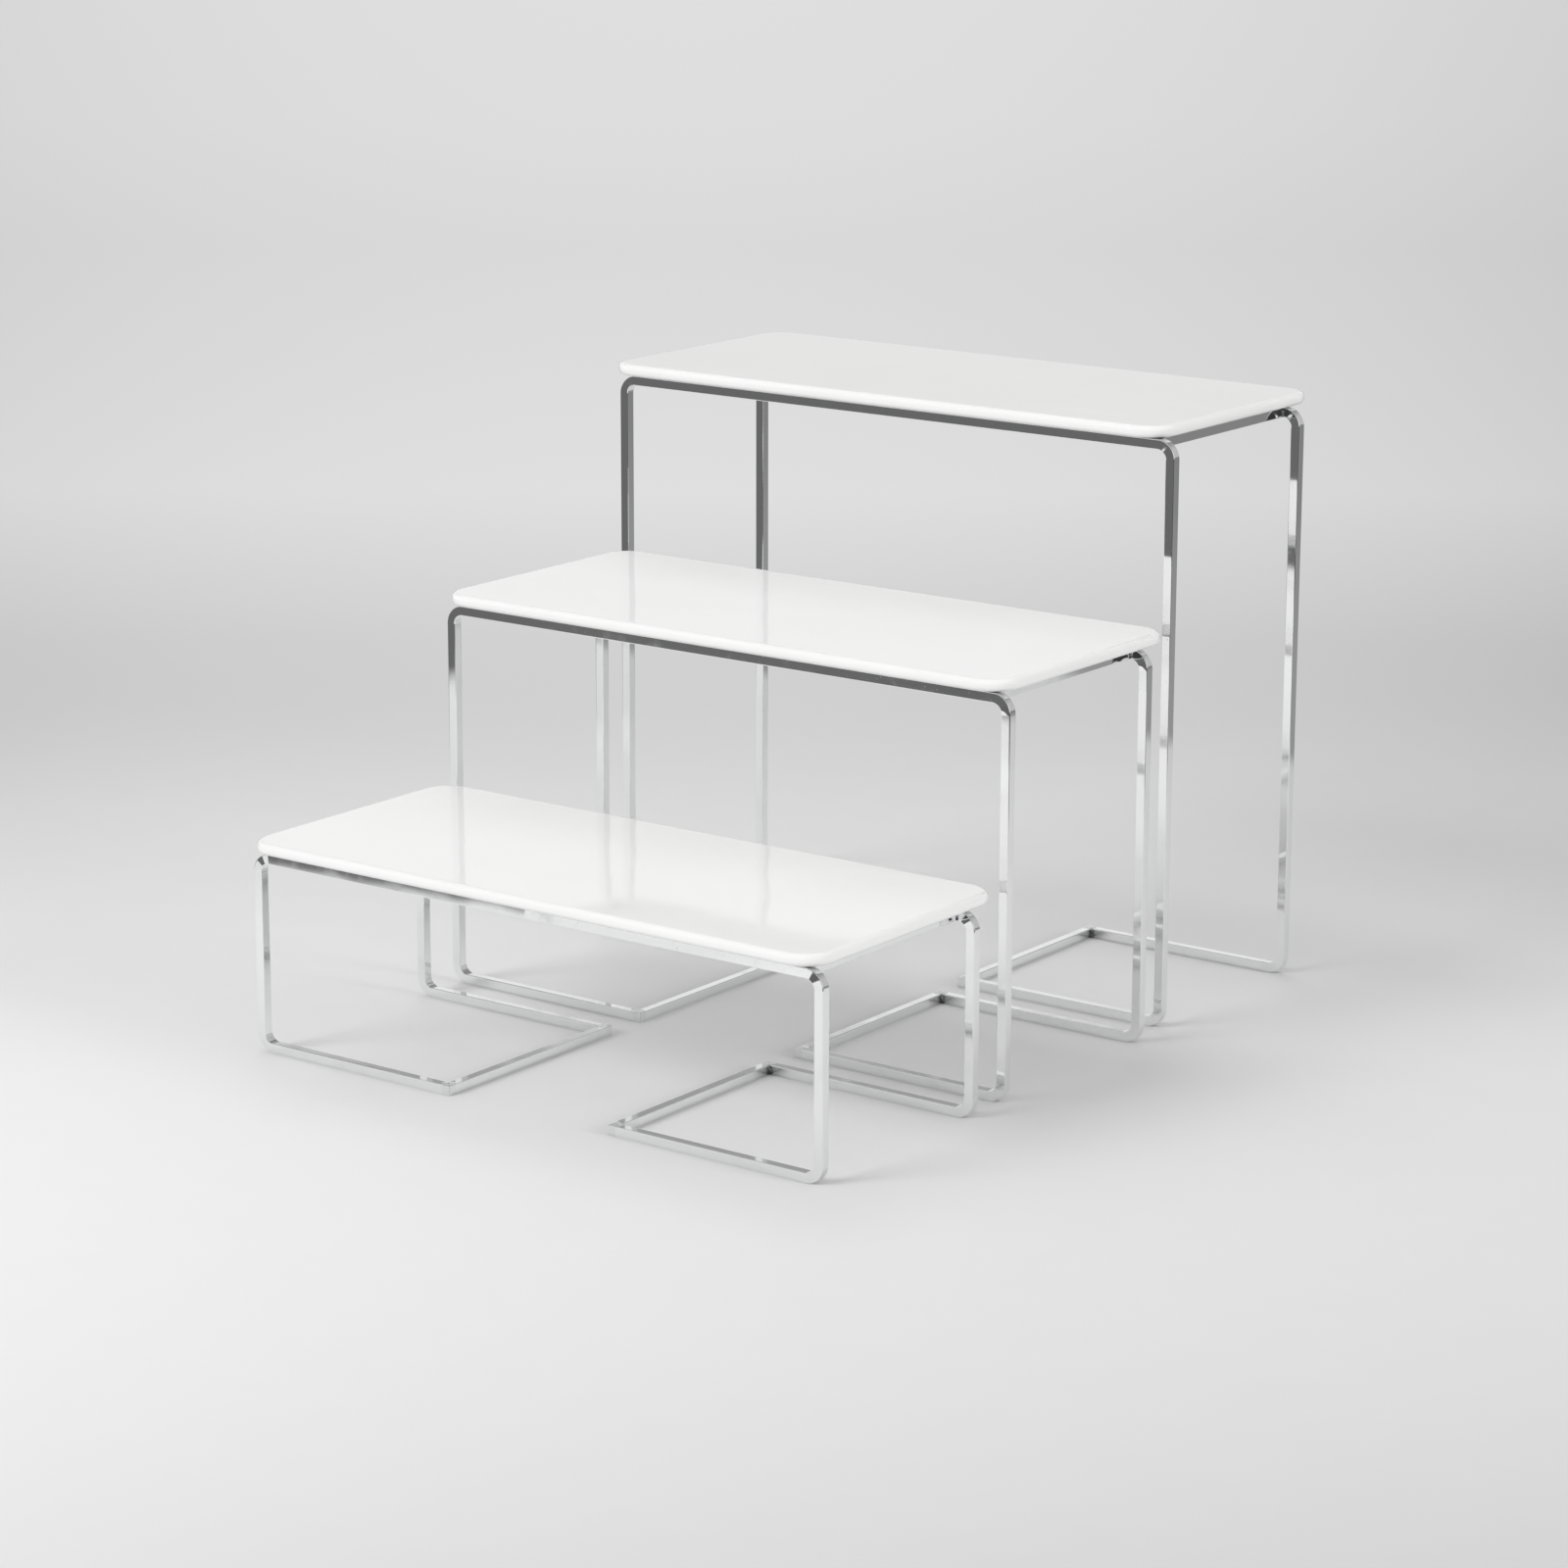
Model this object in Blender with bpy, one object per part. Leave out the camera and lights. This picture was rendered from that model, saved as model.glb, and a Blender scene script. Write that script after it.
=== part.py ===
# Row of three stepped display risers for cakes and desserts. Each riser is a frame of square bar,
# bent and joined, with a loose shelf lying on it. Metres, +Z up, front of the row towards -Y.
import math

import bmesh
import bpy
from mathutils import Matrix, Vector

# Square bar that every frame is made from
BAR = 0.005
BAR_EDGE_RADIUS = 0.0008
BEND_RADIUS = 0.0095  # to the outside of a bend

# One frame, measured over the outside faces of its legs
FRAME_WIDTH = 0.346
FRAME_DEPTH = 0.125
SMALL_FRAME_HEIGHT = 0.1015
TIER_RISE = 0.099  # each frame is this much taller than the one in front of it
FOOT_LENGTH = 0.1245  # outside of a leg to the far side of the cross bar
SIDE_RAIL_SETBACK = 0.0005  # from where a bend ends to the side rail

# Shelf
SHELF_THICKNESS = 0.006
SHELF_EDGE_FLAT = 0.0006  # straight band left between the two roundings of the edge
SHELF_CORNER_RADIUS = 0.016
SHELF_FRONT_OVERHANG = 0.004
SHELF_REAR_OVERHANG = 0.021

# Fits between pieces that touch
SEAT_GAP = 0.0003  # shelf on the rails
JOIN_GAP = 0.0003  # bar to bar

# How the risers stand in the row, and how their loose shelves lie
ROW_GAP = 0.0035  # rear edge of a shelf to the legs of the riser behind it
SMALL_SIDE_SHIFT = 0.0015  # sideways from the mid riser
TALL_SIDE_SHIFT = -0.0055
SMALL_SHELF_SHIFT = -0.0025  # sideways from the middle of its own frame
MID_SHELF_SHIFT = -0.002
TALL_SHELF_SHIFT = -0.006

# Steps used for the rounded shapes
BEND_STEPS = 8
BAR_EDGE_STEPS = 2
SHELF_CORNER_STEPS = 8
SHELF_EDGE_STEPS = 4

# Finishes: colour, roughness, metallic
CHROME = ((0.78, 0.79, 0.8), 0.08, 1)
WHITE_GLOSS = ((0.84, 0.84, 0.83), 0.14, 0)

# Sizes that follow from the ones above
HALF_BAR = BAR / 2
BEND_MIDDLE = BEND_RADIUS - HALF_BAR  # to the middle line of the bar
SHELF_WIDTH = FRAME_WIDTH
SHELF_DEPTH = FRAME_DEPTH + SHELF_FRONT_OVERHANG + SHELF_REAR_OVERHANG
SHELF_SET_BACK = (SHELF_REAR_OVERHANG - SHELF_FRONT_OVERHANG) / 2
SHELF_EDGE_RADIUS = (SHELF_THICKNESS - SHELF_EDGE_FLAT) / 2
ROW_PITCH = FRAME_DEPTH + SHELF_REAR_OVERHANG + ROW_GAP

ACROSS = Vector((1, 0, 0))
BACK = Vector((0, 1, 0))
UP = Vector((0, 0, 1))


def make_material(name, finish):
    colour, roughness, metallic = finish
    material = bpy.data.materials.new(name)
    material.use_nodes = True
    shader = material.node_tree.nodes["Principled BSDF"]
    shader.inputs["Base Color"].default_value = (*colour, 1)
    shader.inputs["Roughness"].default_value = roughness
    shader.inputs["Metallic"].default_value = metallic
    return material


def add_object(name, shape, finish, parent, location):
    bmesh.ops.recalc_face_normals(shape, faces=shape.faces)
    mesh = bpy.data.meshes.new(name)
    shape.to_mesh(mesh)
    shape.free()
    mesh.materials.append(make_material(name, finish))
    piece = bpy.data.objects.new(name, mesh)
    piece.parent = parent
    piece.location = location
    bpy.context.scene.collection.objects.link(piece)


def found(kind, items):
    return [item for item in items if isinstance(item, kind)]


# Square with rounded corners that faces along a direction, the start of every bar
def bar_section(shape, place, direction):
    turn = direction.to_track_quat("Z", "Y").to_matrix().to_4x4()
    start = Matrix.Translation(place) @ turn
    bmesh.ops.create_grid(shape, x_segments=1, y_segments=1, size=HALF_BAR, matrix=start)
    bmesh.ops.bevel(
        shape,
        geom=shape.verts[:],
        offset=BAR_EDGE_RADIUS,
        segments=BAR_EDGE_STEPS,
        profile=0.5,
        affect="VERTICES",
    )
    return shape.faces[:][0]


def with_rim(face):
    return [face, *face.edges, *face.verts]


# Carries a face straight on and gives back the face at the new end
def run_straight(shape, face, travel):
    grown = bmesh.ops.extrude_face_region(shape, geom=with_rim(face))["geom"]
    bmesh.ops.translate(shape, vec=travel, verts=found(bmesh.types.BMVert, grown))
    return found(bmesh.types.BMFace, grown)[0]


# Carries the end of a bar round a quarter bend
def run_bend(shape, face, inward, axis):
    bend = bmesh.ops.spin(
        shape,
        geom=with_rim(face),
        cent=face.calc_center_median() + inward * BEND_MIDDLE,
        axis=axis,
        angle=math.radians(90),
        steps=BEND_STEPS,
    )
    return found(bmesh.types.BMFace, bend["geom_last"])[0]


# Saws off all that lies beyond a plane and closes the cut
def saw_off(shape, place, outward):
    cut = bmesh.ops.bisect_plane(
        shape,
        geom=shape.verts[:] + shape.edges[:] + shape.faces[:],
        plane_co=place,
        plane_no=outward,
        clear_outer=True,
    )
    bmesh.ops.edgeloop_fill(shape, edges=found(bmesh.types.BMEdge, cut["geom_cut"]))


# Long faces are shaded smooth, and the rims of the flat ends stay sharp
def shade(shape, ends):
    shape.normal_update()
    for face in shape.faces:
        face.smooth = True
    for face in shape.faces:
        if any(abs(face.normal.dot(end)) > 0.999 for end in ends):
            face.smooth = False
            for edge in face.edges:
                edge.smooth = False


# Half of a bent loop, foot, leg and half a top rail, mirrored into the whole.
# The foot ends in a mitre that is longest on the outer side.
def loop_shape(height, outer_side):
    shape = bmesh.new()
    corner = Vector((FOOT_LENGTH - FRAME_WIDTH / 2, 0, HALF_BAR)) + outer_side * HALF_BAR
    start = Vector((corner.x + HALF_BAR, 0, HALF_BAR))
    bend_start = HALF_BAR - FRAME_WIDTH / 2 + BEND_MIDDLE
    mitre = (ACROSS - outer_side).normalized()

    face = bar_section(shape, start, -ACROSS)
    face = run_straight(shape, face, ACROSS * (bend_start - start.x))
    saw_off(shape, corner - mitre * JOIN_GAP / 2, mitre)
    face = run_bend(shape, face, UP, BACK)
    face = run_straight(shape, face, UP * (height - 2 * BEND_RADIUS))
    face = run_bend(shape, face, ACROSS, BACK)
    face = run_straight(shape, face, -ACROSS * bend_start)
    bmesh.ops.delete(shape, geom=[face], context="FACES_ONLY")
    bmesh.ops.mirror(
        shape, geom=shape.verts[:] + shape.edges[:] + shape.faces[:], merge_dist=1e-5, axis="X"
    )
    shade(shape, (mitre, mitre.reflect(ACROSS)))
    return shape


# Straight bar from front to back, centred on its own origin
def straight_shape(length):
    shape = bmesh.new()
    face = bar_section(shape, -BACK * length / 2, BACK)
    run_straight(shape, face, BACK * length)
    return shape


def rail_shape():
    shape = straight_shape(FRAME_DEPTH - 2 * (BAR + JOIN_GAP))
    shade(shape, (BACK,))
    return shape


# Bar on the floor between two feet, mitred to be longest on its inner side
def cross_bar_shape(inner_side):
    shape = straight_shape(FRAME_DEPTH)
    mitres = [(end - inner_side).normalized() for end in (-BACK, BACK)]
    for end, mitre in zip((-BACK, BACK), mitres):
        corner = end * FRAME_DEPTH / 2 + inner_side * HALF_BAR
        saw_off(shape, corner - mitre * JOIN_GAP / 2, mitre)
    shade(shape, mitres)
    return shape


# Slab with rounded corners and both edges rounded over, its underside on the local floor
def shelf_shape():
    shape = bmesh.new()
    outline = Matrix.Diagonal((SHELF_WIDTH, SHELF_DEPTH, 1, 1))
    bmesh.ops.create_grid(shape, x_segments=1, y_segments=1, size=0.5, matrix=outline)
    bmesh.ops.bevel(
        shape,
        geom=shape.verts[:],
        offset=SHELF_CORNER_RADIUS,
        segments=SHELF_CORNER_STEPS,
        profile=0.5,
        affect="VERTICES",
    )
    run_straight(shape, shape.faces[:][0], UP * SHELF_THICKNESS)
    rims = [edge for edge in shape.edges if abs(edge.verts[0].co.z - edge.verts[1].co.z) < 1e-6]
    bmesh.ops.bevel(
        shape,
        geom=rims,
        offset=SHELF_EDGE_RADIUS,
        segments=SHELF_EDGE_STEPS,
        profile=0.5,
        affect="EDGES",
    )
    for face in shape.faces:
        face.smooth = True
    return shape


def add_riser(name, height, row_place, shelf_shift):
    stand = bpy.data.objects.new(name + "_riser", None)
    stand.location = row_place
    bpy.context.scene.collection.objects.link(stand)

    loop_place = FRAME_DEPTH / 2 - HALF_BAR
    for end, direction in (("front", -1), ("rear", 1)):
        shape = loop_shape(height, BACK * direction)
        place = BACK * loop_place * direction
        add_object(f"{name}_{end}_loop", shape, CHROME, stand, place)

    cross_place = FRAME_WIDTH / 2 - FOOT_LENGTH + HALF_BAR
    rail_place = FRAME_WIDTH / 2 - BEND_RADIUS - SIDE_RAIL_SETBACK - HALF_BAR
    for side, direction in (("left", -1), ("right", 1)):
        shape = cross_bar_shape(ACROSS * -direction)
        place = ACROSS * cross_place * direction + UP * HALF_BAR
        add_object(f"{name}_{side}_cross_bar", shape, CHROME, stand, place)
        place = ACROSS * rail_place * direction + UP * (height - HALF_BAR)
        add_object(f"{name}_{side}_rail", rail_shape(), CHROME, stand, place)

    place = (shelf_shift, SHELF_SET_BACK, height + SEAT_GAP)
    add_object(name + "_shelf", shelf_shape(), WHITE_GLOSS, stand, place)


for item in list(bpy.data.objects):
    bpy.data.objects.remove(item, do_unlink=True)

# Name, shift of the riser in the row, shift of the shelf on the riser
tiers = (
    ("small", SMALL_SIDE_SHIFT, SMALL_SHELF_SHIFT),
    ("mid", 0, MID_SHELF_SHIFT),
    ("tall", TALL_SIDE_SHIFT, TALL_SHELF_SHIFT),
)

# The middle of the whole row's outline lies on the origin
middles = [shift + extra for _, shift, shelf_shift in tiers for extra in (0, shelf_shift)]
row_middle = Vector((-(max(middles) + min(middles)) / 2, -SHELF_SET_BACK, 0))
for tier, (tier_name, shift, shelf_shift) in enumerate(tiers):
    tier_height = SMALL_FRAME_HEIGHT + TIER_RISE * tier
    place = row_middle + ACROSS * shift + BACK * ROW_PITCH * (tier - 1)
    add_riser(tier_name, tier_height, place, shelf_shift)
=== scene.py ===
# Row of three stepped risers for desserts: frames of polished square bar with loose white shelves.
import math

import bmesh
import bpy
from mathutils import Matrix, Vector


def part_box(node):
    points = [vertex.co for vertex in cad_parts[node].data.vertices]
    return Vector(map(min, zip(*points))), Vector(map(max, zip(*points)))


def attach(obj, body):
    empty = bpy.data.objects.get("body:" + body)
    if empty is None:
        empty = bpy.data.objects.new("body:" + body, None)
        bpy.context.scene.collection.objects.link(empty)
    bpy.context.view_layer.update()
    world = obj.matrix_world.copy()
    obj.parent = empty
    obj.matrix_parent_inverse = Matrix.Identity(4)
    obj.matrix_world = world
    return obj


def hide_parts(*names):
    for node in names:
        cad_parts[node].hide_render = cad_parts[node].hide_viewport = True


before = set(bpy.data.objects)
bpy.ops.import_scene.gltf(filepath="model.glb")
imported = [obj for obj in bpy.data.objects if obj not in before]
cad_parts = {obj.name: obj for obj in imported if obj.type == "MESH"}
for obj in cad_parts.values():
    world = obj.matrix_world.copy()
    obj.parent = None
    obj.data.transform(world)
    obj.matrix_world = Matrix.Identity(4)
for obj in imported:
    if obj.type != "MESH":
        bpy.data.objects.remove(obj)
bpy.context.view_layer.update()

across = Vector((1, 0, 0))
towardsBack = Vector((0, 1, 0))
upward = Vector((0, 0, 1))
tiers = ("small", "mid", "tall")
barSize = 0.005
sameSpot = 1e-6

cameraSetup = {
    "lens": 105.214,  # mm
    "frameWidth": 36,  # mm
    "azimuth": 36.58782,
    "elevation": 14.04796,
    "roll": 0.12717,
    "target": (0.0152176, -0.0288502, 0.125),
    "distance": 2.2854382,
    "clipEnd": 100,
}


def addCamera(setup):
    azimuth = math.radians(setup["azimuth"])
    elevation = math.radians(setup["elevation"])
    roll = math.radians(setup["roll"])
    level = math.cos(elevation)
    back = Vector((math.sin(azimuth) * level, -math.cos(azimuth) * level, math.sin(elevation)))
    right = Vector((math.cos(azimuth), math.sin(azimuth), 0))
    up = back.cross(right)
    turn = Matrix((right, up, back)).transposed() @ Matrix.Rotation(roll, 3, "Z")
    camera = bpy.data.objects.new("camera", bpy.data.cameras.new("camera"))
    camera.data.lens = setup["lens"]
    camera.data.sensor_width = setup["frameWidth"]
    camera.data.clip_end = setup["clipEnd"]
    place = Vector(setup["target"]) + back * setup["distance"]
    camera.matrix_world = Matrix.Translation(place) @ turn.to_4x4()
    bpy.context.scene.collection.objects.link(camera)
    bpy.context.scene.camera = camera


addCamera(cameraSetup)
print("camera placed")


def grey(tone):
    return (tone, tone, tone, 1)


class Wire:
    # One output socket. Arithmetic on it adds Math nodes.
    def __init__(self, socket):
        self.socket = socket

    def math(self, operation, *values, clamp=False):
        tree = self.socket.id_data
        node = tree.nodes.new("ShaderNodeMath")
        node.operation = operation
        node.use_clamp = clamp
        for place, value in enumerate(values):
            if isinstance(value, Wire):
                tree.links.new(value.socket, node.inputs[place])
            else:
                node.inputs[place].default_value = value
        return Wire(node.outputs[0])

    def __add__(self, other):
        return self.math("ADD", self, other)

    def __radd__(self, other):
        return self.math("ADD", other, self)

    def __sub__(self, other):
        return self.math("SUBTRACT", self, other)

    def __rsub__(self, other):
        return self.math("SUBTRACT", other, self)

    def __mul__(self, other):
        return self.math("MULTIPLY", self, other)

    def __truediv__(self, other):
        return self.math("DIVIDE", self, other)

    def __abs__(self):
        return self.math("ABSOLUTE", self)

    def __pow__(self, power):
        return self.math("POWER", self, power)

    def least(self, other):
        return self.math("MINIMUM", self, other)

    def most(self, other):
        return self.math("MAXIMUM", self, other)

    def held(self):
        return self.math("ADD", self, 0, clamp=True)


class Finish:
    # A node tree under construction, a material's or the world's
    def __init__(self, owner):
        owner.use_nodes = True
        self.owner = owner
        self.tree = owner.node_tree
        self.tree.nodes.clear()

    def node(self, kind, settings=None, sockets=None, out=0):
        made = self.tree.nodes.new("ShaderNode" + kind)
        for key, value in (settings or {}).items():
            if key == "stops":
                ramp = made.color_ramp.elements
                while len(ramp) < len(value):
                    ramp.new(1)
                for stop, (place, tone) in zip(ramp, value):
                    stop.position = place
                    stop.color = grey(tone)
            else:
                setattr(made, key, value)
        for key, value in (sockets or {}).items():
            if isinstance(value, Wire):
                self.tree.links.new(value.socket, made.inputs[key])
            else:
                made.inputs[key].default_value = value
        return Wire(made.outputs[out]) if made.outputs else None

    def place(self):
        return self.node("TexCoord", out="Object")

    def noise(self, where, scale, detail, roughness):
        return self.node(
            "TexNoise",
            {"noise_dimensions": "3D"},
            {"Vector": where, "Scale": scale, "Detail": detail, "Roughness": roughness},
            out="Fac",
        )

    def step(self, value, low, high):
        # 0 up to low, 1 from high on, smooth in between
        return self.node(
            "MapRange",
            {"interpolation_type": "SMOOTHSTEP"},
            {"Value": value, "From Min": low, "From Max": high, "To Min": 0.0, "To Max": 1.0},
        )

    def blendColours(self, share, first, second):
        return self.node("Mix", {"data_type": "RGBA"}, {0: share, 6: first, 7: second}, out=2)

    def bump(self, height, strength, distance, normal=None):
        sockets = {"Height": height, "Strength": strength, "Distance": distance}
        if normal is not None:
            sockets["Normal"] = normal
        return self.node("Bump", None, sockets)

    def surface(self, shader):
        self.node("OutputMaterial", None, {"Surface": shader})
        return self.owner


chromeLook = {
    "clean": (0.92, 0.924, 0.928, 1),
    "dull": (0.85, 0.856, 0.86, 1),
    "stain": (0.06, 0.06, 0.063, 1),
    "roughness": 0.035,
    "smudgeRoughness": 0.05,
    "smudgeNoise": (70, 4, 0.6),  # scale, detail and roughness, as for the other noises
    "smudgeFade": (0.45, 0.75),
    "smudgeShare": 0.5,
    "waveNoise": (45, 1, 0.4),
    "waveHeight": 0.00003,
    "pitNoise": (900, 1, 0.5),
    "pitFade": (0.74, 0.80),
    "pitsElsewhere": 0.12,  # pits away from the joins
    "pitDarkness": 0.5,
    "raggedNoise": (420, 3, 0.6),  # breaks up the edges of the marks
    "raggedness": 0.9,
    "joinReach": 0.005,  # how far the marks of a join spread
    "stainFade": (0.35, 0.75),
    "stainDarkness": 0.08,
    "stainRoughness": 0.06,
    "markHeight": 0.0002,
    "markStrength": 0.6,
    "stainRelief": 0.6,
    "pitRelief": 0.4,
    "insideFade": (0.0005, 0.002),  # from a loop's middle line towards the middle of its riser
    "footFade": (-0.002, -0.0005),  # from the outer face of a cross bar
    "topFade": (0.0001, 0.0009),  # below the top of a foot
    "middleFade": (-0.01, 0.01),  # from the middle of a riser
    "cornerDarkReach": 0.013,  # along both bars from the inner corner of a foot
    "cornerDarkness": 0.45,
    "cornerDarkCore": 0.003,
    "coreDarkness": 0.55,
    "frontCornerDark": 0.5,  # the front corners are darkened less than the rear ones
    "leftCornerDark": 0.15,  # and the left feet less than the right ones
}


def chromeFinish(tier, look):
    # Marks of joining stand where the cross bars meet the feet and the side rails meet the loops
    frontLow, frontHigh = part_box(tier + "_front_loop")
    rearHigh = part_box(tier + "_rear_loop")[1]
    railLow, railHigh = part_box(tier + "_right_rail")
    crossLow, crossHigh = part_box(tier + "_right_cross_bar")
    middleX = (frontLow.x + frontHigh.x) / 2
    middleY = (frontLow.y + rearHigh.y) / 2
    loopPlace = middleY - (frontLow.y + frontHigh.y) / 2
    railPlace = (railLow.x + railHigh.x) / 2 - middleX
    crossPlace = (crossLow.x + crossHigh.x) / 2 - middleX

    finish = Finish(bpy.data.materials.new(tier + "Chrome"))
    where = finish.place()
    x, y, z = (finish.node("SeparateXYZ", None, {0: where}, out=axis) for axis in "XYZ")
    fromLoop = abs(abs(y - middleY) - loopPlace) / look["joinReach"]
    fromCross = abs(abs(x - middleX) - crossPlace) / look["joinReach"]
    fromRail = abs(abs(x - middleX) - railPlace) / look["joinReach"]
    aboveFloor = (z - barSize).most(0) / look["joinReach"]
    belowRail = (railLow.z + barSize / 2 - z).most(0) / look["joinReach"]
    footJoin = 1 - (fromCross ** 2 + aboveFloor ** 2 + fromLoop ** 2).held()
    railJoin = 1 - (fromRail ** 2 + belowRail ** 2 + fromLoop ** 2).held()
    inside = finish.step(loopPlace - abs(y - middleY), *look["insideFade"])
    alongFoot = abs(x - middleX) - crossPlace - barSize / 2
    alongCross = loopPlace - barSize / 2 - abs(y - middleY)
    fromCorner = (alongFoot.most(0) ** 2 + alongCross.most(0) ** 2) ** 0.5
    innerFaces = inside * finish.step(alongFoot, *look["footFade"])
    innerFaces = innerFaces * finish.step(barSize - z, *look["topFade"])
    rearShare = finish.step(y - middleY, *look["middleFade"]) * (1 - look["frontCornerDark"])
    rightShare = finish.step(x - middleX, *look["middleFade"]) * (1 - look["leftCornerDark"])
    # A darker wedge runs along both bars from the inner corner of each foot, more at the rear
    # corners and on the right feet
    wedge = (1 - fromCorner / look["cornerDarkReach"]).held() * look["cornerDarkness"]
    core = (1 - fromCorner / look["cornerDarkCore"]).held() * look["coreDarkness"]
    cornerDark = (wedge + core) * innerFaces * (rearShare + look["frontCornerDark"])
    cornerDark = cornerDark * (rightShare + look["leftCornerDark"])

    ragged = finish.noise(where, *look["raggedNoise"])
    joins = footJoin.most(railJoin * inside)
    stained = finish.step(joins + (ragged - 0.5) * look["raggedness"], *look["stainFade"])
    cornerDarkened = cornerDark * (ragged + 0.5).held()
    smudge = finish.step(finish.noise(where, *look["smudgeNoise"]), *look["smudgeFade"])
    pits = finish.step(finish.noise(where, *look["pitNoise"]), *look["pitFade"])
    pitShare = (pits * (footJoin + look["pitsElsewhere"]).held()).held()

    colour = finish.blendColours(smudge * look["smudgeShare"], look["clean"], look["dull"])
    marks = (stained * look["stainDarkness"] + pitShare * look["pitDarkness"]).most(cornerDarkened)
    colour = finish.blendColours(marks, colour, look["stain"])
    roughness = smudge * look["smudgeRoughness"] + look["roughness"]
    roughness = roughness + stained * look["stainRoughness"]

    wave = finish.noise(where, *look["waveNoise"])
    normal = finish.bump(wave, 1.0, look["waveHeight"])
    relief = ragged * stained * look["stainRelief"] - pitShare * look["pitRelief"]
    normal = finish.bump(relief, look["markStrength"], look["markHeight"], normal)
    shader = finish.node(
        "BsdfPrincipled",
        None,
        {"Base Color": colour, "Metallic": 1.0, "Roughness": roughness, "Normal": normal},
    )
    return finish.surface(shader)


boardLook = {
    "white": (0.845, 0.845, 0.84, 1),
    "cloud": (0.815, 0.815, 0.808, 1),
    "cloudNoise": (14, 3, 0.5),
    "cloudFade": (0.3, 0.8),
    "cloudShare": 0.6,
    "ior": 1.49,
    "roughness": 0.05,
    "wipeRoughness": 0.05,
    "wipeNoise": (9, 4, 0.6),
    "wipeTurn": 0.5,
    "wipeStretch": 6,
    "wipeFade": (0.45, 0.8),
    "waveNoise": (32, 1, 0.4),
    "waveTurn": 0.64,
    "waveStretch": 2.2,
    "waveHeight": 0.0003,
    "peelNoise": (650, 1, 0.5),
    "peelHeight": 0.000006,
}


def boardFinish(look):
    finish = Finish(bpy.data.materials.new("boardWhite"))
    where = finish.place()
    cloud = finish.step(finish.noise(where, *look["cloudNoise"]), *look["cloudFade"])
    wipeTurn, waveTurn = (0, 0, look["wipeTurn"]), (0, 0, look["waveTurn"])
    wipeStretch, waveStretch = (1, look["wipeStretch"], 1), (1, look["waveStretch"], 1)
    streaked = finish.node(
        "Mapping", None, {"Vector": where, "Rotation": wipeTurn, "Scale": wipeStretch}
    )
    wipe = finish.step(finish.noise(streaked, *look["wipeNoise"]), *look["wipeFade"])
    waved = finish.node(
        "Mapping",
        {"vector_type": "TEXTURE"},
        {"Vector": where, "Rotation": waveTurn, "Scale": waveStretch},
    )
    wave = finish.noise(waved, *look["waveNoise"])
    peel = finish.noise(where, *look["peelNoise"])
    normal = finish.bump(wave, 1.0, look["waveHeight"])
    normal = finish.bump(peel, 1.0, look["peelHeight"], normal)
    shader = finish.node(
        "BsdfPrincipled",
        None,
        {
            "Base Color": finish.blendColours(
                cloud * look["cloudShare"], look["white"], look["cloud"]
            ),
            "Roughness": wipe * look["wipeRoughness"] + look["roughness"],
            "Normal": normal,
            "IOR": look["ior"],
        },
    )
    return finish.surface(shader)


weldLook = {
    "light": (0.50, 0.50, 0.51, 1),
    "dark": (0.06, 0.06, 0.062, 1),
    "grainNoise": (900, 3, 0.6),
    "grainFade": (0.35, 0.7),
    "grainHeight": 0.0003,
    "grainRoughness": 0.2,
    "roughness": 0.22,
}


def weldFinish(look):
    finish = Finish(bpy.data.materials.new("weldMetal"))
    where = finish.place()
    grain = finish.noise(where, *look["grainNoise"])
    lightShare = finish.step(grain, *look["grainFade"])
    shader = finish.node(
        "BsdfPrincipled",
        None,
        {
            "Base Color": finish.blendColours(lightShare, look["dark"], look["light"]),
            "Metallic": 1.0,
            "Roughness": grain * look["grainRoughness"] + look["roughness"],
            "Normal": finish.bump(grain, 1.0, look["grainHeight"]),
        },
    )
    return finish.surface(shader)


chrome = {tier: chromeFinish(tier, chromeLook) for tier in tiers}
boardWhite = boardFinish(boardLook)
weldMetal = weldFinish(weldLook)
print("finishes mixed:", len(bpy.data.materials), "materials")


def found(kind, items):
    return [item for item in items if isinstance(item, kind)]


def withRim(face):
    return [face, *face.edges, *face.verts]


def everything(shape):
    return shape.verts[:] + shape.edges[:] + shape.faces[:]


def addPiece(name, shape, material, body, slot, *nodes):
    bmesh.ops.remove_doubles(shape, verts=shape.verts, dist=1e-7)
    bmesh.ops.recalc_face_normals(shape, faces=shape.faces)
    mesh = bpy.data.meshes.new(name)
    shape.to_mesh(mesh)
    shape.free()
    mesh.materials.append(material)
    piece = bpy.data.objects.new(name, mesh)
    bpy.context.scene.collection.objects.link(piece)
    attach(piece, body)
    if nodes:
        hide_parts(*nodes)


barForm = {
    "edgeRadius": 0.00036,
    "edgeSteps": 5,
    "flatReach": 0.00204,  # from the middle of a face to the cut beside its rounding
    "bendRadius": 0.0095,  # to the outside of a bend
    "bendSteps": 20,
    "collar": 0.0007,  # from the end of a bend to a cut that keeps the straight flat
    "swell": 0.12,  # how much wider the bar is on the inside of a bend
    "seam": 0.00004,  # half the gap in a mitre
    "groundRadius": 0.0006,  # mitre corners are ground round
    "groundCuts": 3,
    "railTurn": {"small": 0, "mid": 2.4, "tall": 0},  # degrees
    "loopTurn": {"small_front": (5.0, 3.8)},  # degrees, at the left and right ends of a top rail
}
halfBar = barSize / 2
bendMiddle = barForm["bendRadius"] - halfBar


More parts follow.
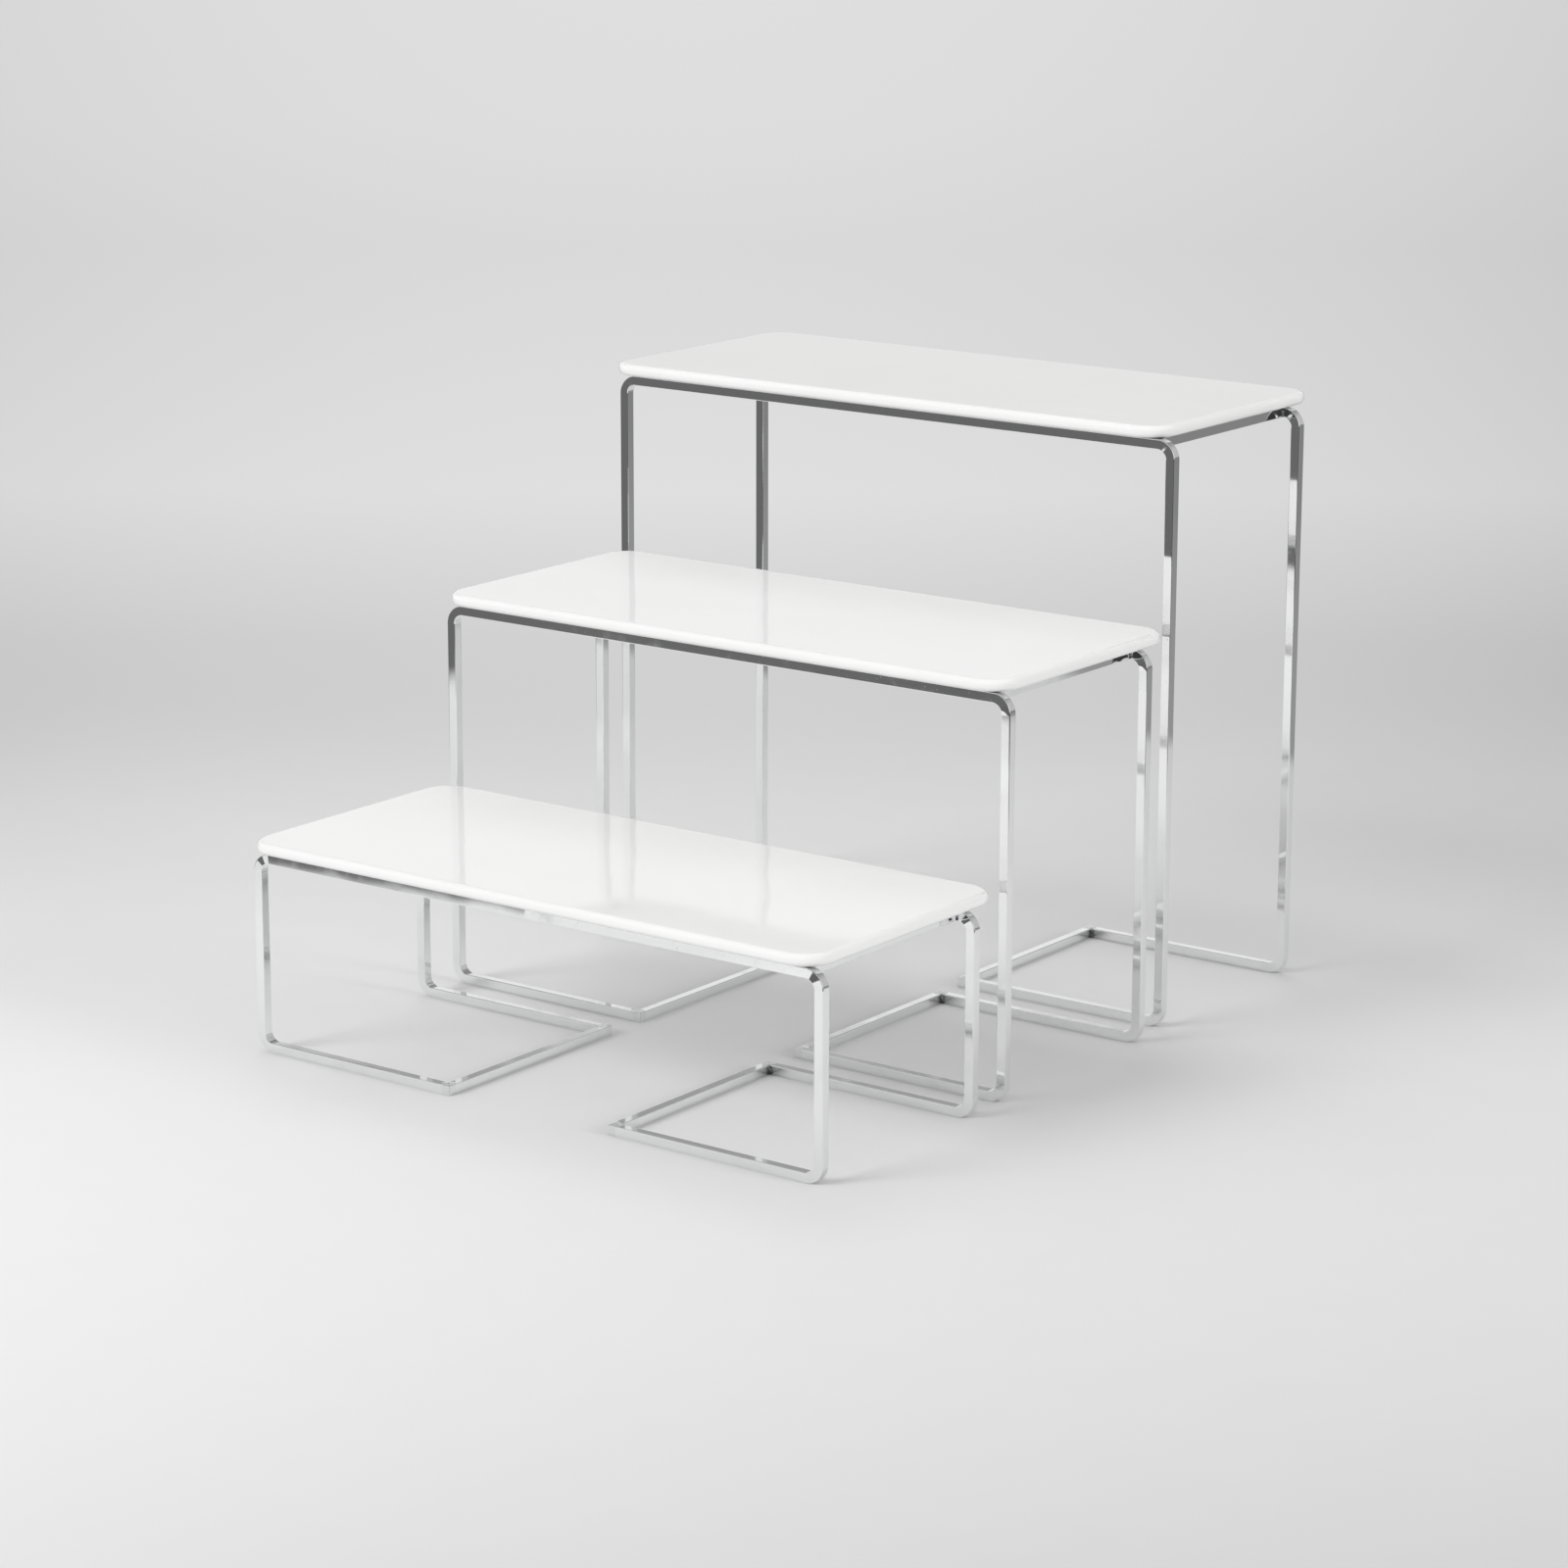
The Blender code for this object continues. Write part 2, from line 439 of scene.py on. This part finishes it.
# Square with rounded corners that faces along a direction. Cuts beside the roundings keep its
# sides flat.
def barSection(shape, place, direction):
    bmesh.ops.create_grid(shape, x_segments=1, y_segments=1, size=halfBar)
    bmesh.ops.bevel(
        shape,
        geom=shape.verts[:],
        offset=barForm["edgeRadius"],
        segments=barForm["edgeSteps"],
        profile=0.5,
        affect="VERTICES",
        material=-1,
    )
    sides = [edge for edge in shape.edges if edge.calc_length() > halfBar]
    bmesh.ops.subdivide_edges(shape, edges=sides, cuts=2)
    for vert in shape.verts:
        if abs(vert.co.x) < halfBar / 2:
            vert.co.x = math.copysign(barForm["flatReach"], vert.co.x)
        if abs(vert.co.y) < halfBar / 2:
            vert.co.y = math.copysign(barForm["flatReach"], vert.co.y)
    turn = direction.to_track_quat("Z", "Y").to_matrix().to_4x4()
    bmesh.ops.transform(shape, matrix=Matrix.Translation(place) @ turn, verts=shape.verts)
    return shape.faces[:][0]


def runStraight(shape, face, travel):
    grown = bmesh.ops.extrude_face_region(shape, geom=withRim(face))["geom"]
    bmesh.ops.translate(shape, vec=travel, verts=found(bmesh.types.BMVert, grown))
    return found(bmesh.types.BMFace, grown)[0]


# A straight run with a cut near each end
def runLong(shape, face, travel):
    collar = travel.normalized() * barForm["collar"]
    for part in (collar, travel - 2 * collar, collar):
        face = runStraight(shape, face, part)
    return face


def runBend(shape, face, inward, axis):
    bend = bmesh.ops.spin(
        shape,
        geom=withRim(face),
        cent=face.calc_center_median() + inward * bendMiddle,
        axis=axis,
        angle=math.radians(90),
        steps=barForm["bendSteps"],
    )
    return found(bmesh.types.BMFace, bend["geom_last"])[0]


# A bent bar swells on the inside of a bend and thins on the outside
def swellBends(shape, bendStart, height):
    for vert in shape.verts:
        beside = bendStart - vert.co.x
        beyond = barForm["bendRadius"] - min(vert.co.z, height - vert.co.z)
        if beside > 0 and beyond > 0:
            share = math.sin(2 * math.atan2(beyond, beside))
            inwards = (bendMiddle - math.hypot(beside, beyond)) / halfBar
            vert.co.y *= 1 + barForm["swell"] * share * inwards


# Turns the straight of a top rail about its own length
def turnTopRail(shape, bendStart, height, leftTurn, rightTurn):
    hub = Vector((0, 0, height - halfBar))
    for vert in shape.verts:
        share = vert.co.x / (2 * bendStart) + 0.5
        if abs(vert.co.x) < abs(bendStart) + barForm["seam"] and vert.co.z > height / 2:
            turn = math.radians(leftTurn * share + rightTurn * (1 - share))
            vert.co = hub + Matrix.Rotation(-turn, 3, "X") @ (vert.co - hub)


def sawOff(shape, place, outward):
    cut = bmesh.ops.bisect_plane(
        shape, geom=everything(shape), plane_co=place, plane_no=outward, clear_outer=True
    )
    bmesh.ops.edgeloop_fill(shape, edges=found(bmesh.types.BMEdge, cut["geom_cut"]))


# Grinds the sharp tip of a mitre round, from the bar's outer face to the mitre
def grindTip(shape, tip, outerFace, pastEnd):
    radius = barForm["groundRadius"]
    middle = tip - outerFace * radius - pastEnd * radius
    for cut in range(barForm["groundCuts"]):
        angle = math.radians(45) * (cut + 0.5) / barForm["groundCuts"]
        outward = outerFace * math.cos(angle) + pastEnd * math.sin(angle)
        sawOff(shape, middle + outward * radius, outward)


# Long faces are smooth, and the rims of sawn ends stay sharp
def shadeBar(shape, ends):
    shape.normal_update()
    for face in shape.faces:
        face.smooth = True
    for face in shape.faces:
        if any(abs(face.normal.dot(end)) > 0.9999 for end in ends):
            face.smooth = False
            for edge in face.edges:
                edge.smooth = False


# Half a bent loop, foot, leg and half a top rail, mirrored into the whole
def buildLoop(tier, end):
    low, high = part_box(f"{tier}_{end}_loop")
    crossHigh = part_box(tier + "_left_cross_bar")[1]
    middle = Vector(((low.x + high.x) / 2, (low.y + high.y) / 2, 0))
    outerSide = towardsBack * (1 if end == "rear" else -1)
    halfWidth, height = (high.x - low.x) / 2, high.z - low.z
    tip = Vector((crossHigh.x - middle.x, 0, halfBar)) + outerSide * halfBar
    start = Vector((tip.x + halfBar, 0, halfBar))
    bendStart = halfBar - halfWidth + bendMiddle
    mitre = (across - outerSide).normalized()

    shape = bmesh.new()
    face = barSection(shape, start, -across)
    face = runLong(shape, face, across * (bendStart - start.x))
    sawOff(shape, tip - mitre * barForm["seam"], mitre)
    grindTip(shape, tip, outerSide, across)
    face = runBend(shape, face, upward, towardsBack)
    face = runLong(shape, face, upward * (height - 2 * barForm["bendRadius"]))
    face = runBend(shape, face, across, towardsBack)
    face = runLong(shape, face, -across * bendStart)
    bmesh.ops.delete(shape, geom=[face], context="FACES_ONLY")
    swellBends(shape, bendStart, height)
    bmesh.ops.mirror(shape, geom=everything(shape), merge_dist=sameSpot, axis="X")
    turnTopRail(shape, bendStart, height, *barForm["loopTurn"].get(f"{tier}_{end}", (0, 0)))
    shadeBar(shape, (mitre, mitre.reflect(across)))
    bmesh.ops.translate(shape, vec=middle, verts=shape.verts)
    return shape


def buildCrossBar(tier, side):
    low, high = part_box(f"{tier}_{side}_cross_bar")
    outerSide = across * (1 if side == "left" else -1)  # towards the gap between the feet
    middle = (low + high) / 2
    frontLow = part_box(tier + "_front_loop")[0]
    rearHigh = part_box(tier + "_rear_loop")[1]
    depth = rearHigh.y - frontLow.y
    shape = bmesh.new()
    face = barSection(shape, -towardsBack * depth / 2, towardsBack)
    runStraight(shape, face, towardsBack * depth)
    mitres = []
    for end in (-towardsBack, towardsBack):
        tip = end * depth / 2 + outerSide * halfBar
        mitre = (end - outerSide).normalized()
        sawOff(shape, tip - mitre * barForm["seam"], mitre)
        grindTip(shape, tip, outerSide, end)
        mitres.append(mitre)
    shadeBar(shape, mitres)
    bmesh.ops.translate(shape, vec=middle, verts=shape.verts)
    return shape


def buildRail(tier, side):
    low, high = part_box(f"{tier}_{side}_rail")
    middle = (low + high) / 2
    length = high.y - low.y
    shape = bmesh.new()
    face = barSection(shape, -towardsBack * length / 2, towardsBack)
    runStraight(shape, face, towardsBack * length)
    turn = math.radians(barForm["railTurn"][tier]) * (1 if side == "right" else -1)
    bmesh.ops.rotate(shape, cent=(0, 0, 0), matrix=Matrix.Rotation(turn, 3, "Y"), verts=shape.verts)
    shadeBar(shape, (towardsBack,))
    bmesh.ops.translate(shape, vec=middle, verts=shape.verts)
    return shape


weldForm = {"reach": 0.0009, "steps": 4, "below": 0.0003}


# Hollow bead that stands in the corner between two bars
def addFillet(shape, corner, first, second):
    reach = weldForm["reach"]
    start = bmesh.ops.create_vert(shape, co=corner + first * reach)["vert"]
    arc = bmesh.ops.spin(
        shape,
        geom=start,
        cent=corner + (first + second) * reach,
        axis=second.cross(first),
        angle=math.radians(90),
        steps=weldForm["steps"],
    )
    apex = bmesh.ops.create_vert(shape, co=corner)["vert"]
    edges = [edge for edge in shape.edges if edge.is_wire]
    for end in (start[0], found(bmesh.types.BMVert, arc["geom_last"])[0]):
        edges += bmesh.ops.contextual_create(shape, geom=[end, apex[0]])["edges"]
    face = bmesh.ops.contextual_create(shape, geom=edges)["faces"][0]
    runStraight(shape, face, upward * (barSize - 2 * weldForm["below"]))


def buildWelds(tier):
    shape = bmesh.new()
    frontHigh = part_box(tier + "_front_loop")[1]
    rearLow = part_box(tier + "_rear_loop")[0]
    for side, outwards in (("left", -across), ("right", across)):
        crossLow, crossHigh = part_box(f"{tier}_{side}_cross_bar")
        railLow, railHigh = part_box(f"{tier}_{side}_rail")
        crossFace = crossHigh.x if side == "right" else crossLow.x
        for y, inwards in ((frontHigh.y, towardsBack), (rearLow.y, -towardsBack)):
            addFillet(shape, Vector((crossFace, y, weldForm["below"])), outwards, inwards)
            bottom = railLow.z + weldForm["below"]
            addFillet(shape, Vector((railLow.x, y, bottom)), -across, inwards)
            addFillet(shape, Vector((railHigh.x, y, bottom)), across, inwards)
    for face in shape.faces:
        face.smooth = abs(face.normal.z) < 0.5
    return shape


for tier in tiers:
    body = tier + "_frame"
    for end in ("front", "rear"):
        node = f"{tier}_{end}_loop"
        addPiece(node + "_bar", buildLoop(tier, end), chrome[tier], body, "chrome", node)
    for side in ("left", "right"):
        node = f"{tier}_{side}_cross_bar"
        addPiece(node + "_foot", buildCrossBar(tier, side), chrome[tier], body, "chrome", node)
        node = f"{tier}_{side}_rail"
        addPiece(node + "_bar", buildRail(tier, side), chrome[tier], body, "chrome", node)
    addPiece(tier + "_welds", buildWelds(tier), weldMetal, body, "chrome")
    print(tier, "frame bent and joined")


boardForm = {
    "cornerRadius": 0.016,
    "cornerSteps": 16,
    "edgeRadius": 0.0027,
    "edgeSteps": 8,
    "rimInset": 0.0004,
}


def buildBoard(tier):
    low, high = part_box(tier + "_shelf")
    middle = Vector(((low.x + high.x) / 2, (low.y + high.y) / 2, low.z))
    outline = Matrix.Diagonal((high.x - low.x, high.y - low.y, 1, 1))
    shape = bmesh.new()
    bmesh.ops.create_grid(shape, x_segments=1, y_segments=1, size=0.5, matrix=outline)
    bmesh.ops.bevel(
        shape,
        geom=shape.verts[:],
        offset=boardForm["cornerRadius"],
        segments=boardForm["cornerSteps"],
        profile=0.5,
        affect="VERTICES",
        material=-1,
    )
    runStraight(shape, shape.faces[:][0], upward * (high.z - low.z))
    rims = []
    for edge in shape.edges:
        if abs(edge.verts[0].co.z - edge.verts[1].co.z) < sameSpot:
            rims.append(edge)
    bmesh.ops.bevel(
        shape,
        geom=rims,
        offset=boardForm["edgeRadius"],
        segments=boardForm["edgeSteps"],
        profile=0.5,
        affect="EDGES",
        material=-1,
    )
    # a narrow ring beside the rounding keeps the top and the underside flat
    flats = sorted(shape.faces, key=lambda face: face.calc_area())[-2:]
    bmesh.ops.inset_region(
        shape, faces=flats, thickness=boardForm["rimInset"], use_even_offset=True
    )
    for face in shape.faces:
        face.smooth = True
    bmesh.ops.translate(shape, vec=middle, verts=shape.verts)
    return shape


for tier in tiers:
    node = tier + "_shelf"
    addPiece(node + "_board", buildBoard(tier), boardWhite, node, "white_gloss", node)
    print(tier, "shelf laid on")


stageSetup = {
    "floorReach": 60,
    "mottleNoise": (30, 3, 0.5),
    "mottle": 0.015,
    "nearReach": 0.9,
    # paper tone with a painted gradient of light falling off across the table
    "nearToneAndFalloff": {
        "middle": 0.724,
        "right": -0.129,
        "rightSquared": -0.044,
        "ahead": -0.133,
        "aheadSquared": -0.244,
        "aheadCubed": 0.129,
        "slant": 0.13,
        "slantRight": -0.331,
    },
    "leftLoss": 0.11,  # mirrors see the paper dimmer on the left
    "leftFade": (0.5, 0.62),
    "farFade": (0.4, 0.9),  # where the paper glows with the painted tones of a lit backdrop
    "cameraAway": 2.25,
    "sideReach": 0.19,
    "farTone": {"side": -0.094, "sideSquared": -2.49, "slant": -0.228},
    "farStops": (
        (0.11, 0.737),
        (0.15, 0.727),
        (0.19, 0.696),
        (0.23, 0.716),
        (0.27, 0.74),
        (0.32, 0.635),
        (0.38, 0.671),
    ),
    "backdropTone": 0.70,
    "worldLight": 0.70,
    "lamps": {
        "keyLight": {"bearing": 208, "height": 33, "spread": 28, "strength": 1.42},
        "sideLight": {"bearing": 330, "height": 18, "spread": 18, "strength": 0.9},
        "highLight": {"bearing": 100, "height": 55, "spread": 24, "strength": 0.24},
    },
    "table": {"x": -0.005, "y": -0.065, "halfWidth": 0.635, "halfDepth": 0.675, "blur": 0.03},
    "room": {"left": 0.14, "right": 0.04, "back": 0.30, "far": 0.23},  # painted tones that mirrors see past the table's edge
    "rightFade": (-0.6, 0.8),
    "backFade": (-0.3, 0.3),
    "deepFade": (0.8, 1.5),
    "mirrored": {"front": 0.82, "right": 0.52, "ceiling": 0.22},
    "wallFade": (-0.1, 0.3),
    "ceilingFade": (0.4, 0.75),
    "mirroredBack": (
        (0.0, 0.61),
        (0.152, 0.61),
        (0.166, 0.56),
        (0.174, 0.56),
        (0.185, 0.80),
        (0.222, 0.80),
        (0.235, 0.90),
        (0.29, 0.84),
        (0.301, 0.34),
        (1.0, 0.34),
    ),
}
viewTurn = math.radians(cameraSetup["azimuth"])
viewRight = Vector((math.cos(viewTurn), math.sin(viewTurn), 0))
viewAhead = upward.cross(viewRight)


def addStageMesh(name, shape, material):
    mesh = bpy.data.meshes.new(name)
    shape.to_mesh(mesh)
    shape.free()
    mesh.materials.append(material)
    thing = bpy.data.objects.new(name, mesh)
    bpy.context.scene.collection.objects.link(thing)


# Pale paper on a table. Near the risers it is lit by the lamps, and its tone there carries a
# painted gradient of light falling off across it. Far off it glows with the painted tones of a lit
# backdrop. For mirror rays the paper past the table's edge is painted with the dark tones of a
# room.
def paperFinish(setup):
    finish = Finish(bpy.data.materials.new("paperFloor"))
    where = finish.place()
    x, y = (finish.node("SeparateXYZ", None, {0: where}, out=axis) for axis in "XY")
    mottle = (finish.noise(where, *setup["mottleNoise"]) - 0.5) * setup["mottle"]
    right = x * viewRight.x + y * viewRight.y
    ahead = x * viewAhead.x + y * viewAhead.y
    reach = setup["nearReach"]
    sideways, along = (axis.most(-reach).least(reach) for axis in (right, ahead))
    # painted light falloff: the paper's tone changes smoothly with place near the risers
    near = setup["nearToneAndFalloff"]
    tone = near["middle"] + sideways * near["right"] + along * near["ahead"] + mottle
    tone = tone + sideways ** 2 * near["rightSquared"] + along ** 2 * near["aheadSquared"]
    tone = tone + along ** 3 * near["aheadCubed"]
    tone = tone + sideways * along * (near["slant"] + sideways * near["slantRight"])
    mirrored = finish.node("LightPath", out="Is Glossy Ray")
    tone = tone - finish.step(0 - right, *setup["leftFade"]) * mirrored * setup["leftLoss"]
    colour = finish.node("CombineColor", None, {0: tone, 1: tone, 2: tone})
    lit = finish.node("BsdfDiffuse", None, {"Color": colour})

    # Far off the paper glows for the camera with painted backdrop tones
    depth = (ahead + setup["cameraAway"]).most(1)
    side = (right / depth).most(-setup["sideReach"]).least(setup["sideReach"])
    close = depth ** -1
    far = setup["farTone"]
    level = finish.node("ValToRGB", {"stops": setup["farStops"]}, {0: close})
    level = level + side * far["side"] + side ** 2 * far["sideSquared"]
    level = level + side * close * far["slant"]
    colour = finish.node("CombineColor", None, {0: level, 1: level, 2: level})
    glow = finish.node("Emission", None, {"Color": colour})
    farShare = finish.step(ahead, *setup["farFade"])
    seen = finish.node("LightPath", out="Is Camera Ray")
    plain = finish.node("MixShader", None, {0: farShare * seen, 1: lit, 2: glow})

    # Painted reflection: past the table's edge, mirror rays see the paper glow with dark room tones
    table = setup["table"]
    acrossTable = abs(x - table["x"]) / table["halfWidth"]
    alongTable = abs(y - table["y"]) / table["halfDepth"]
    beyond = finish.step(acrossTable.most(alongTable), 1 - table["blur"], 1 + table["blur"])
    tones = {name: grey(tone) for name, tone in setup["room"].items()}
    rightShare = finish.step(x, *setup["rightFade"])
    deepShare = finish.step(y, *setup["deepFade"])
    frontTone = finish.blendColours(rightShare, tones["left"], tones["right"])
    backTone = finish.blendColours(deepShare, tones["back"], tones["far"])
    roomTone = finish.blendColours(finish.step(y, *setup["backFade"]), frontTone, backTone)
    room = finish.node("Emission", None, {"Color": roomTone})
    return finish.surface(finish.node("MixShader", None, {0: beyond * mirrored, 1: plain, 2: room}))


def addFloor(setup):
    shape = bmesh.new()
    bmesh.ops.create_grid(shape, x_segments=1, y_segments=1, size=setup["floorReach"])
    addStageMesh("floor", shape, paperFinish(setup))


# Bearing in degrees about the set: 0 is the picture's right, 90 is away from the camera
def addLamp(name, lamp):
    bearing, height = math.radians(lamp["bearing"]), math.radians(lamp["height"])
    level = viewRight * math.cos(bearing) + viewAhead * math.sin(bearing)
    place = level * math.cos(height) + upward * math.sin(height)
    light = bpy.data.lights.new(name, "SUN")
    light.angle = math.radians(lamp["spread"])
    light.energy = lamp["strength"]
    holder = bpy.data.objects.new(name, light)
    holder.visible_glossy = False
    turn = place.to_track_quat("Z", "Y").to_matrix().to_4x4()
    holder.matrix_world = Matrix.Translation(place) @ turn
    bpy.context.scene.collection.objects.link(holder)


# Mirrors see a pale wall in front, dimmer ones behind and to the right, and a dark ceiling
def setWorld(setup):
    world = bpy.data.worlds.new("studio")
    bpy.context.scene.world = world
    finish = Finish(world)
    heading = finish.node("TexCoord", out="Generated")
    x, y, z = (finish.node("SeparateXYZ", None, {0: heading}, out=axis) for axis in "XYZ")
    tones = {name: grey(tone) for name, tone in setup["mirrored"].items()}
    behind = finish.node("ValToRGB", {"stops": setup["mirroredBack"]}, {0: z})
    behind = finish.blendColours(finish.step(x, *setup["wallFade"]), behind, tones["right"])
    walls = finish.blendColours(finish.step(y, *setup["backFade"]), tones["front"], behind)
    room = finish.blendColours(finish.step(z, *setup["ceilingFade"]), walls, tones["ceiling"])
    mirrored = finish.node("Background", None, {"Color": room})
    backdrop = finish.node("Background", None, {"Color": grey(setup["backdropTone"])})
    light = finish.node("Background", None, {"Color": grey(setup["worldLight"])})
    inMirror = finish.node("LightPath", out="Is Glossy Ray")
    seen = finish.node("LightPath", out="Is Camera Ray")
    mixed = finish.node("MixShader", None, {0: inMirror, 1: light, 2: mirrored})
    mixed = finish.node("MixShader", None, {0: seen, 1: mixed, 2: backdrop})
    finish.node("OutputWorld", None, {"Surface": mixed})


addFloor(stageSetup)
for name, lamp in stageSetup["lamps"].items():
    addLamp(name, lamp)
setWorld(stageSetup)
bpy.context.scene.view_settings.view_transform = "Standard"
print("stage set")
